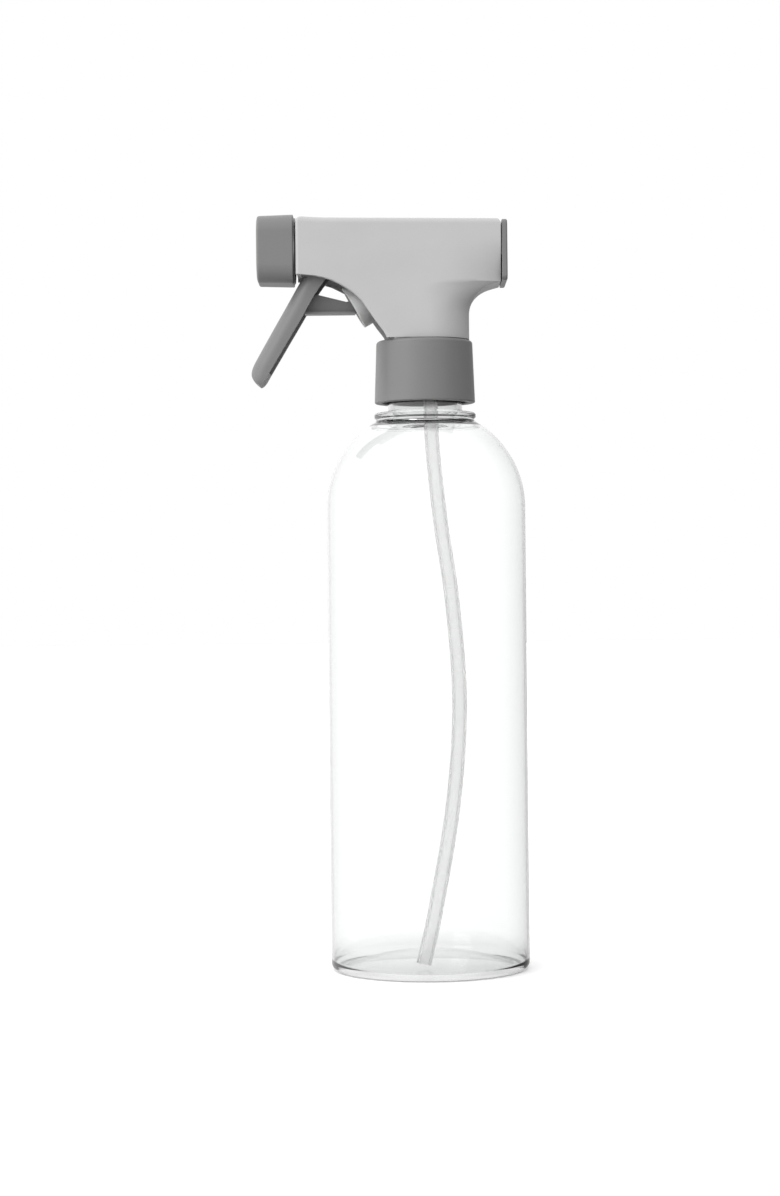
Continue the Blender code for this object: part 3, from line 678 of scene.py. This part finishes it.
def bottle():
    centre_r = BOTTLE_R - SHOULDER_ARC_R
    top_angle = math.degrees(math.asin((SHOULDER_TOP - SIDE_TOP) / SHOULDER_ARC_R))
    rise = [(CONTACT_IN_R * i / 24, PUSH_UP * (1 - (i / 24) ** 2)) for i in range(25)]
    corner = arc((BOTTLE_R - BASE_CORNER_R, BASE_CORNER_R), BASE_CORNER_R, -90, 0, 12)
    sides = [(BOTTLE_R, 8 + 16 * i) for i in range(9)]
    shoulder = arc((centre_r, SIDE_TOP), SHOULDER_ARC_R, 0, top_angle, 40)
    ring = [(16.4, RING_Z[0] - 0.3)] + arc((RING_R - 0.4, RING_Z[0] + 0.4), 0.4, -80, 0, 5)
    ring += arc((RING_R - 0.7, RING_Z[1] - 0.7), 0.7, 0, 90, 7)
    neck = arc((NECK_R + 0.8, RING_Z[1] + 0.9), 0.8, 270, 180, 5)
    neck += [(NECK_R, NECK_TOP - 0.5)] + arc((NECK_R - 0.4, NECK_TOP - 0.4), 0.4, 10, 90, 4)
    inner_corner = BASE_CORNER_R + 0.4
    inside = arc((NECK_BORE_R + 0.3, NECK_TOP - 0.3), 0.3, 90, 180, 3)
    inside += [(NECK_BORE_R, NECK_TOP - 6), (NECK_BORE_R, RING_Z[0] + 0.4)]
    inside += arc((NECK_BORE_R + 3.2, RING_Z[0] + 0.2), 3.2, 180, 232, 6)
    inside += arc((centre_r, SIDE_TOP), SHOULDER_ARC_R - WALL, top_angle - 3.5, 0, 36)
    inside += [(r - WALL, z) for r, z in sides[::-1]]
    inside += arc((BOTTLE_R - WALL - inner_corner, inner_corner + 1), inner_corner, 0, -90, 10)
    inside += [(r, z + 1.0) for r, z in rise[::-1]]
    profile = rise + corner + sides + shoulder + ring + neck + inside
    piece("bottle_shell", turned(profile, 160), "clear_pet", "bottle", "bottle", 50,
          joins=[thread(NECK_R - 0.4, THREAD_CREST_R, THREAD_Z, 1.1, 0.5)])


def collar():
    low, high = COLLAR_Z
    profile = [(COLLAR_BORE_R + 0.3, low), (COLLAR_R[0] - 0.45, low)]
    profile += arc((COLLAR_R[0] - 0.45, low + 0.45), 0.45, -70, 0, 4)
    profile += arc((COLLAR_R[1] - 1.1, high - 1.1), 1.1, 0, 90, 10)
    profile += [(COLLAR_EYE_R + 0.2, high), (COLLAR_EYE_R, high - 0.2),
                (COLLAR_EYE_R, high - COLLAR_TOP_WALL), (COLLAR_BORE_R - 0.4, high - COLLAR_TOP_WALL),
                (COLLAR_BORE_R, high - COLLAR_TOP_WALL - 0.4), (COLLAR_BORE_R, low + 0.3)]
    ridge = thread(COLLAR_BORE_R + 0.4, COLLAR_THREAD_R, THREAD_Z - COLLAR_THREAD_DROP, 0.9, 0.4)
    piece("collar_shell", turned(profile, 144), "dark_grey", "collar", "collar", 40, joins=[ridge])


def tube_retainer():
    top = COLLAR_Z[1] - COLLAR_TOP_WALL - 0.3
    flange = [(0, 199.5), (9.4, 199.5), (10.2, 200.5), (10.2, top - 1.2), (13.2, top - 1.2),
              (13.2, top), (7.9, top), (7.9, 214.4), (7.5, 214.8), (0, 214.8)]
    piece("tube_retainer_moulding", turned(flange, 96), "natural_pp", "head", "tube_retainer",
          joins=[rod(4.4, (RISER_X, 0, 196.5), (RISER_X, 0, 202), 48, 0, 0.3)],
          cuts=[turned([(5.2, 199), (9.0, 199), (8.6, 204.2), (5.2, 204.2)], 64),
                rod(2.65, (RISER_X, 0, 190), (RISER_X, 0, 209.2), 48),
                turned([(0, 208), (1.4, 208), (1.4, 211.6), (2.5, 213.0), (2.5, 216), (0, 216)], 48,
                       (RISER_X, 0, 0))])


def dip_tube():
    knots = [(RISER_X, 0, 208.8), (RISER_X, 0, 196), (2.2, 0, 176), (4.7, -0.8, 149), (8.3, -3.2, 122),
             (10.3, -7.0, 89), (7.8, -13.0, 56), (1.7, -20.0, 22.5), (-2.5, -23.8, 4.6)]
    piece("dip_tube_hose", swept(smooth_path(knots, 12), TUBE_R, 40, TUBE_BORE_R), "milky_pe", "head",
          "dip_tube", 60)


# --- pump head --------------------------------------------------------------------------------

def in_cylinder(depth):
    """The point on the pump cylinder's axis at a depth from its mouth."""
    return Vector((MOUTH[0], 0, MOUTH[1])) + CYLINDER_AXIS * depth


def nozzle_point(x):
    return (x, 0, NOZZLE_Z)


def pump_body():
    top = COLLAR_Z[1] - COLLAR_TOP_WALL
    hub = turned([(0, top + 0.3), (COLLAR_EYE_R - 0.4, top + 0.3), (COLLAR_EYE_R - 0.4, 212.5),
                  (8.9, 217.5), (0, 217.5)], 72)
    wall = [(BORE_R - 0.5, 0.3), (BORE_R + 0.3, 0), (CYLINDER_R - 0.25, 0), (CYLINDER_R, 0.25),
            (CYLINDER_R, CYLINDER_LENGTH - 0.6), (CYLINDER_R - 0.6, CYLINDER_LENGTH), (0, CYLINDER_LENGTH)]
    cylinder = turned([(0, 0.3)] + wall, 96, in_cylinder(0), CYLINDER_AXIS)
    boss = turned([(0, 0), (BOSS_R - 0.4, 0), (BOSS_R, 0.4), (BOSS_R, 3.2), (4.9, 3.4), (4.9, 4.8),
                   (BOSS_R, 5.0), (BOSS_R, 10.8), (0, 10.8)], 64, (BOSS_FRONT_X, 0, NOZZLE_Z), (1, 0, 0))
    joins = [cylinder, rod(5.0, (RISER_X, 0, 216), (RISER_X, 0, NOZZLE_Z + 3.1), 48),
             rod(BARREL_R, (-44, 0, NOZZLE_Z), (RISER_X + 2, 0, NOZZLE_Z), 48), boss,
             prism([(-14, 219), (-3, 215), (0, 232), (-10, 233)], -1.2, 1.2),
             prism([(-20, NOZZLE_Z), (1, NOZZLE_Z), (1, 228), (-9, 229)], -1.1, 1.1),
             rod(1.9, (PIVOT[0], -7, PIVOT[1]), (PIVOT[0], 7, PIVOT[1]), 32, 0, 0.3),
             prism([(RISER_X, 238.6), (11.5, 238.6), (11.5, 241.6), (RISER_X, 239.3)], -2.0, 2.0),
             rod(2.2, (9.5, -10.5, 240), (9.5, 10.5, 240), 32, 0, 0.3)]
    piece("pump_body_moulding", hub, "natural_pp", "head", "pump_body", 35, joins=joins,
          cuts=[rod(8.2, (0, 0, top - 1), (0, 0, 215.7), 48),
                rod(BORE_R, in_cylinder(-3), in_cylinder(BORE_DEPTH), 96),
                rod(1.3, in_cylinder(BORE_DEPTH - 1), (RISER_X, 0, in_cylinder(29.5).z), 24),
                rod(1.6, (RISER_X, 0, 214.5), (RISER_X, 0, NOZZLE_Z), 24),
                turned([(0, 0), (3.6, 0), (3.6, 8.3), (1.2, 8.3), (1.2, 57), (0, 57)], 32,
                       nozzle_point(BOSS_FRONT_X - 2), (1, 0, 0))])


def piston():
    profile = [(0, 4.0), (1.2, 4.1), (2.1, 3.9), (2.6, 3.3), (2.8, 1.8), (3.1, 0.8), (3.6, 0.4), (5.7, 0.4),
               (6.1, 0.6), (6.2, 1.0), (6.2, 5.6), (5.4, 5.8), (5.4, 7.0), (6.2, 7.2), (6.2, 9.5), (4.8, 9.5),
               (4.8, 5.3), (0, 5.3)]
    piece("piston_moulding", turned(profile, 96, in_cylinder(0), CYLINDER_AXIS), "milky_pe", "piston",
          "piston")


def coil(radius, wire, length, turns, at, along, per_turn=36, sides=12):
    """A compression spring with flat closed ends."""
    steps = int(turns * per_turn)
    path = []
    for i in range(steps + 1):
        a = 2 * math.pi * turns * i / steps
        share = min(max((i / steps - 0.12) / 0.76, 0), 1)
        height = wire + (length - 2 * wire) * share + 2.2 * wire * min(i / steps / 0.12, 1) - 2.2 * wire
        height = max(height, wire) if i / steps < 0.5 else height
        path.append((radius * math.cos(a), radius * math.sin(a), height))
    bm = swept(path, wire, sides)
    turn = Vector(along).to_track_quat("Z", "Y").to_matrix().to_4x4()
    bmesh.ops.transform(bm, verts=bm.verts, matrix=Matrix.Translation(at) @ turn)
    return bm


def spring(node, sizes, at, along):
    """A spring's coil, made as a piece with a mesh of its own."""
    made = piece(node + "_wire", coil(*sizes, at, along), "spring_steel", "head", node, 60)
    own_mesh(made)


def springs():
    spring("return_spring", RETURN_SPRING, in_cylinder(RETURN_SPRING_DEPTH), CYLINDER_AXIS)
    spring("outlet_valve_spring", VALVE_SPRING, nozzle_point(VALVE_SPRING_X), (-1, 0, 0))


def push_link():
    ball = in_cylinder(LINK_BALL_DEPTH)
    pin_x, pin_z = LINK_PIN
    web = [(pin_x + 0.6, 217.9), (-22.9, 217.9), (ball.x + 0.3, ball.z - 1.9), (ball.x - 0.3, ball.z + 1.9),
           (-25.8, 221.9), (-35.2, 224.3), (-37.0, 224.1), (pin_x - 1.0, 222.9), (pin_x - 1.6, 221.0)]
    foot = prism([(pin_x + 0.9, 217.8), (-22.9, 217.8), (-22.9, 218.4), (pin_x + 0.4, 218.5)], -3.0, 3.0)
    tip = turned([(0, -2.1), (1.1, -1.8), (1.8, -1.1), (2.1, 0), (1.8, 1.1), (1.1, 1.8), (0, 2.1)], 32, ball,
                 CYLINDER_AXIS)
    piece("push_link_moulding", prism(web, -1.0, 1.0), "dark_grey", "push_link", "push_link",
          joins=[foot, tip, rod(2.3, (pin_x, -3.4, pin_z), (pin_x, 3.4, pin_z), 40),
                 rod(1.4, (pin_x, -6.6, pin_z), (pin_x, 6.6, pin_z), 40)], round_mm=0.25)


def lever_rings(front, back, radius, inset=0.0, beyond=0.0, per_corner=10):
    """Sections of the lever from front points to back points, whose y is half the lever's width."""
    rings = []
    for start, end in zip(front, back):
        half = end.y - inset * 0.9
        start, end = Vector((start.x, 0, start.z)), Vector((end.x, 0, end.z))
        into = (end - start).normalized()
        depth = (end - start).length + beyond
        corner = min(radius, 0.8 * depth, 0.9 * half)
        ring = [start + into * depth + Vector((0, half, 0))]
        for k in range(per_corner + 1):
            a = math.pi / 2 * k / per_corner
            ring.append(start + into * (inset + corner * (1 - math.sin(a)))
                        + Vector((0, half - corner + corner * math.cos(a), 0)))
        rings.append(ring + [Vector((p.x, -p.y, p.z)) for p in reversed(ring)])
    return rings


def trigger():
    half = TRIGGER_HALF
    inner = half - TRIGGER_WALL
    front = [(-39.2, 0, 231.5), (-40.6, 0, 229.0), (-42.9, 0, 225.0), (-45.6, 0, 220.3), (-50.1, 0, 212.5),
             (-54.6, 0, 204.6), (-56.9, 0, 200.3), (-57.45, 0, 197.8), (-56.95, 0, 196.1), (-56.1, 0, 195.1),
             (-55.3, 0, 194.4)]
    back = [(-31.0, half, 231.0), (-32.3, half, 229.2), (-35.2, half, 225.3), (-40.0, half, 217.1),
            (-44.7, half, 209.3), (-49.3, half, 201.6), (-51.4, half, 198.1), (-52.8, 0.985 * half, 195.7),
            (-53.6, 0.95 * half, 194.7), (-54.2, 0.88 * half, 194.2), (-54.7, 0.78 * half, 193.95)]
    outer = lever_rings(smooth_path(front, 6), smooth_path(back, 6), 4.6)
    last = 7
    hollow = lever_rings(smooth_path(front[:last], 6), smooth_path(back[:last], 6), 2.8, 2.0, 6.0)
    ear = [(-40.2, 229.8), (-32.0, 229.8)] + arc(PIVOT, 4.0, -20, 180, 24)
    above = [(-46, 231.0), (-25, 231.0), (-25, 245), (-46, 245)]
    piece("trigger_lever", loft(outer), "dark_grey", "trigger", "trigger", 35,
          joins=[prism(ear, -half, half)],
          cuts=[loft(hollow), prism(above, -inner, inner),
                rod(2.2, (PIVOT[0], -9, PIVOT[1]), (PIVOT[0], 9, PIVOT[1]), 40),
                rod(1.7, (LINK_PIN[0], -6.8, LINK_PIN[1]), (LINK_PIN[0], 6.8, LINK_PIN[1]), 40)])


def rounded_square(half, corner, x, per_corner=16):
    ring_points = []
    for k, (sy, sz) in enumerate(((1, 1), (-1, 1), (-1, -1), (1, -1))):
        centre = (sy * (half - corner), NOZZLE_Z + sz * (half - corner))
        ring_points += arc(centre, corner, 90 * k, 90 * (k + 1), per_corner)
    return [(x, y, z) for y, z in ring_points]


def nozzle():
    front, rear = NOZZLE_X
    low, high = NOZZLE_HALF
    rings = []
    for share in (0.22, 0.45, 0.65, 0.8, 0.9):
        rings.append(rounded_square(low * share, NOZZLE_CORNER_R * share, front + 0.35 * share**4))
    for k in range(7):
        a = math.radians(15 * k)
        inset = 0.75 * (1 - math.sin(a))
        rings.append(rounded_square(low - inset, NOZZLE_CORNER_R - inset,
                                    front + 0.35 + 0.75 * (1 - math.cos(a))))
    length = NOZZLE_SHOULDER_X - 0.35 - front - 1.1
    for share in (0.2, 0.4, 0.6, 0.8, 1.0):
        half = low + (high - low) * share
        rings.append(rounded_square(half, NOZZLE_CORNER_R, front + 1.1 + length * share))
    for k in range(1, 5):
        a = math.radians(22.5 * k)
        inset = 0.35 * (1 - math.cos(a))
        rings.append(rounded_square(high - inset, NOZZLE_CORNER_R - inset,
                                    NOZZLE_SHOULDER_X - 0.35 + 0.35 * math.sin(a)))
    skirt = high - 0.4
    rings.append(rounded_square(skirt, skirt - 0.02, NOZZLE_SHOULDER_X))
    rings.append(rounded_square(skirt, skirt - 0.02, rear - 0.1))
    rings.append(rounded_square(skirt - 0.1, skirt - 0.12, rear))
    bore = rod(NOZZLE_BORE_R, nozzle_point(front + NOZZLE_WALL), nozzle_point(rear + 5), 64)
    eye = turned([(0, -1), (4.6, -1), (4.6, 0.0), (3.9, 0.9), (3.1, 1.0), (3.1, 8), (0, 8)], 64,
                 nozzle_point(front), (1, 0, 0))
    hollow = rod(9.8, nozzle_point(front + 4.5), nozzle_point(rear + 5), 64, 7.5)
    piece("nozzle_cap_moulding", loft(rings), "dark_grey", "nozzle", "nozzle_cap", 40,
          cuts=[bore, eye, hollow])
    profile = [(0.35, 0.9), (0.5, 0.55), (1.6, 0.2), (2.3, 0.2), (2.8, 0.7), (2.8, 1.7), (0.35, 1.7)]
    piece("orifice_disc", turned(profile, 64, nozzle_point(front), (1, 0, 0)), "dark_grey", "nozzle",
          "orifice_insert", 30)


# --- shroud and rear plate --------------------------------------------------------------------

def blend(t):
    t = min(max(t, 0), 1)
    return t * t * (3 - 2 * t)


def front_edge(z):
    """Where the shroud's open front edge is at a height: an arc, then a level lip."""
    edge = [(SHROUD_BOTTOM, -12.4), (211.0, -13.5), (214.0, -15.8), (218.0, -18.5), (221.3, -20.8),
            (224.0, -23.8), (226.2, -27.2), (228.2, -31.2), (229.4, -35.7), (230.0, SHROUD_X[0])]
    for (z0, x0), (z1, x1) in zip(edge, edge[1:]):
        if z <= z1:
            return x0 + (x1 - x0) * max(z - z0, 0) / (z1 - z0)
    return SHROUD_X[0]


def rear_edge(z):
    """The back of the neck, a concave arc, then the flat rear end."""
    if z < 217.0:
        return NECK_REAR_X
    if z > 226.9:
        return SHROUD_X[1]
    return NECK_REAR_X + 10.2 * (1 - math.sqrt(max(0, 1 - ((z - 217.0) / 9.9) ** 2)))


def rear_corner(z, half, rear, inset, count):
    """The outline's rear corner: an ellipse on the neck that flares into a shallow sweep on the overhang."""
    flared = blend((z - NECK_FLARE_Z[0]) / (NECK_FLARE_Z[1] - NECK_FLARE_Z[0]))
    squared = blend((z - NECK_FLARE_Z[1] + 1) / (NECK_FLARE_Z[2] - NECK_FLARE_Z[1] + 1))
    reach = 13.3 - inset * 0.5 + (SWEEP_REACH - 13.3) * flared
    sweep = SWEEP_DEPTH * (1 - squared)
    points = []
    for i in range(count + 1):
        a = math.pi / 2 * i / count
        pulled = (1 - flared) * half * (1 - math.sin(a)) + flared * sweep * math.cos(a)**2
        points.append((rear - reach * (1 - math.cos(a)), half - pulled, z))
    return points


def top_rise(x, z):
    """The top slopes gently up to the front, and flares a little more near the nozzle."""
    flare = max(0, 1 - (x - SHROUD_X[0]) / FLARE_LENGTH)
    share = max(0, z - SLOPE_FROM) / (SHROUD_TOP - SLOPE_FROM)
    return (TOP_SLOPE * (SHROUD_X[1] - x) + FLARE_MM * flare**2) * share


def shroud_slice(z, inset, per_corner=24):
    """One level outline of the shroud: flat sides, and a rear corner that tightens upwards."""
    edge = max(0, z - (SHROUD_TOP - SHROUD_EDGE_R - inset))
    pull = SHROUD_EDGE_R * (1 - math.sqrt(max(0, 1 - min(1, edge / SHROUD_EDGE_R) ** 2)))
    half = SHROUD_HALF - inset - pull
    rear = rear_edge(z) - inset - pull
    front = front_edge(z) + inset + pull
    points = rear_corner(z, half, rear, inset, per_corner)
    ahead = points[-1][0]
    points += [(ahead + (front + 1.0 - ahead) * k / 12, half, z) for k in range(1, 13)]
    points += [(front + 1.0 - 1.0 * math.sin(math.radians(22.5 * k)),
                half - 1.0 + 1.0 * math.cos(math.radians(22.5 * k)), z) for k in range(1, 5)]
    points = [(x, y, z + top_rise(x, z)) for x, y, z in points]
    return points + [(x, -y, z) for x, y, z in reversed(points)]


def shroud():
    levels = [SHROUD_BOTTOM + (229.5 - SHROUD_BOTTOM) * k / 28 for k in range(29)]
    levels += [230.0, 230.6, 231.5, 233, 234.5, 236, 237.5, 239, 241, 243.5, SHROUD_TOP - SHROUD_EDGE_R]
    rounded = [SHROUD_TOP - SHROUD_EDGE_R * (1 - math.sin(math.radians(9 * k))) for k in range(1, 11)]
    ceiling = SHROUD_TOP - SHROUD_WALL
    inner = [SHROUD_BOTTOM - 1] + levels[1:-1] + [ceiling - 1.2, ceiling - 0.5, ceiling]
    side = SHROUD_HALF - SHROUD_WALL - 0.2
    piece("shroud_shell", loft([shroud_slice(z, 0) for z in levels + rounded]), "light_grey", "head",
          "shroud", 35,
          cuts=[loft([shroud_slice(z, SHROUD_WALL) for z in inner]),
                prism([(-60, 200), (-2, 200), (-2, 222), (-14, 231.3), (-60, 231.3)], -side, side),
                rod(BOSS_R + 0.4, nozzle_point(-50), nozzle_point(-38), 64),
                box((15, -side, REAR_OPENING_Z), (30, side, ceiling - 0.3))])


def rear_plate():
    half, corner = SHROUD_HALF - 0.1, 1.6
    low, high = PLATE_Z
    outline = []
    for k, (sy, sz) in enumerate(((1, 1), (-1, 1), (-1, -1), (1, -1))):
        centre = (sy * (half - corner), (high - corner) if sz > 0 else (low + corner))
        outline += arc(centre, corner, 90 * k, 90 * (k + 1), 12)

    def face(x, inset):
        middle, height = (low + high) / 2, (high - low) / 2
        return [(x, y * (1 - inset / half), middle + (z - middle) * (1 - inset / height)) for y, z in outline]

    back = [face(PLATE_X[1] - 0.6 + 0.6 * math.sin(math.radians(18 * k)),
                 0.6 * (1 - math.cos(math.radians(18 * k)))) for k in range(6)]
    rings = [face(PLATE_X[0], 0.2), face(PLATE_X[0] + 0.2, 0)] + back
    side = SHROUD_HALF - SHROUD_WALL - 0.5
    ceiling = SHROUD_TOP - SHROUD_WALL
    piece("rear_plate_moulding", loft(rings), "dark_grey", "head", "rear_plate", 35,
          joins=[box((20.4, -side, REAR_OPENING_Z + 0.3), (PLATE_X[0] + 0.5, side, ceiling - 0.6))],
          cuts=[box((19, -side + 1.2, REAR_OPENING_Z + 1.5), (PLATE_X[0] - 0.3, side - 1.2, ceiling - 1.8))])


def dress_kept_nodes():
    """CAD nodes whose shape is right get their slot's finish."""
    slots = {part["node"]: part["material_slot"] for part in frame["record"]["subparts"]}
    for name, obj in frame["nodes"].items():
        if obj.hide_render:
            continue
        for slot in obj.material_slots:
            slot.material = LOOKS[slots[name]]
        if not obj.material_slots:
            obj.data.materials.append(LOOKS[slots[name]])


set_camera()
set_studio()
bottle()
collar()
tube_retainer()
dip_tube()
pump_body()
piston()
springs()
push_link()
trigger()
nozzle()
shroud()
rear_plate()
dress_kept_nodes()
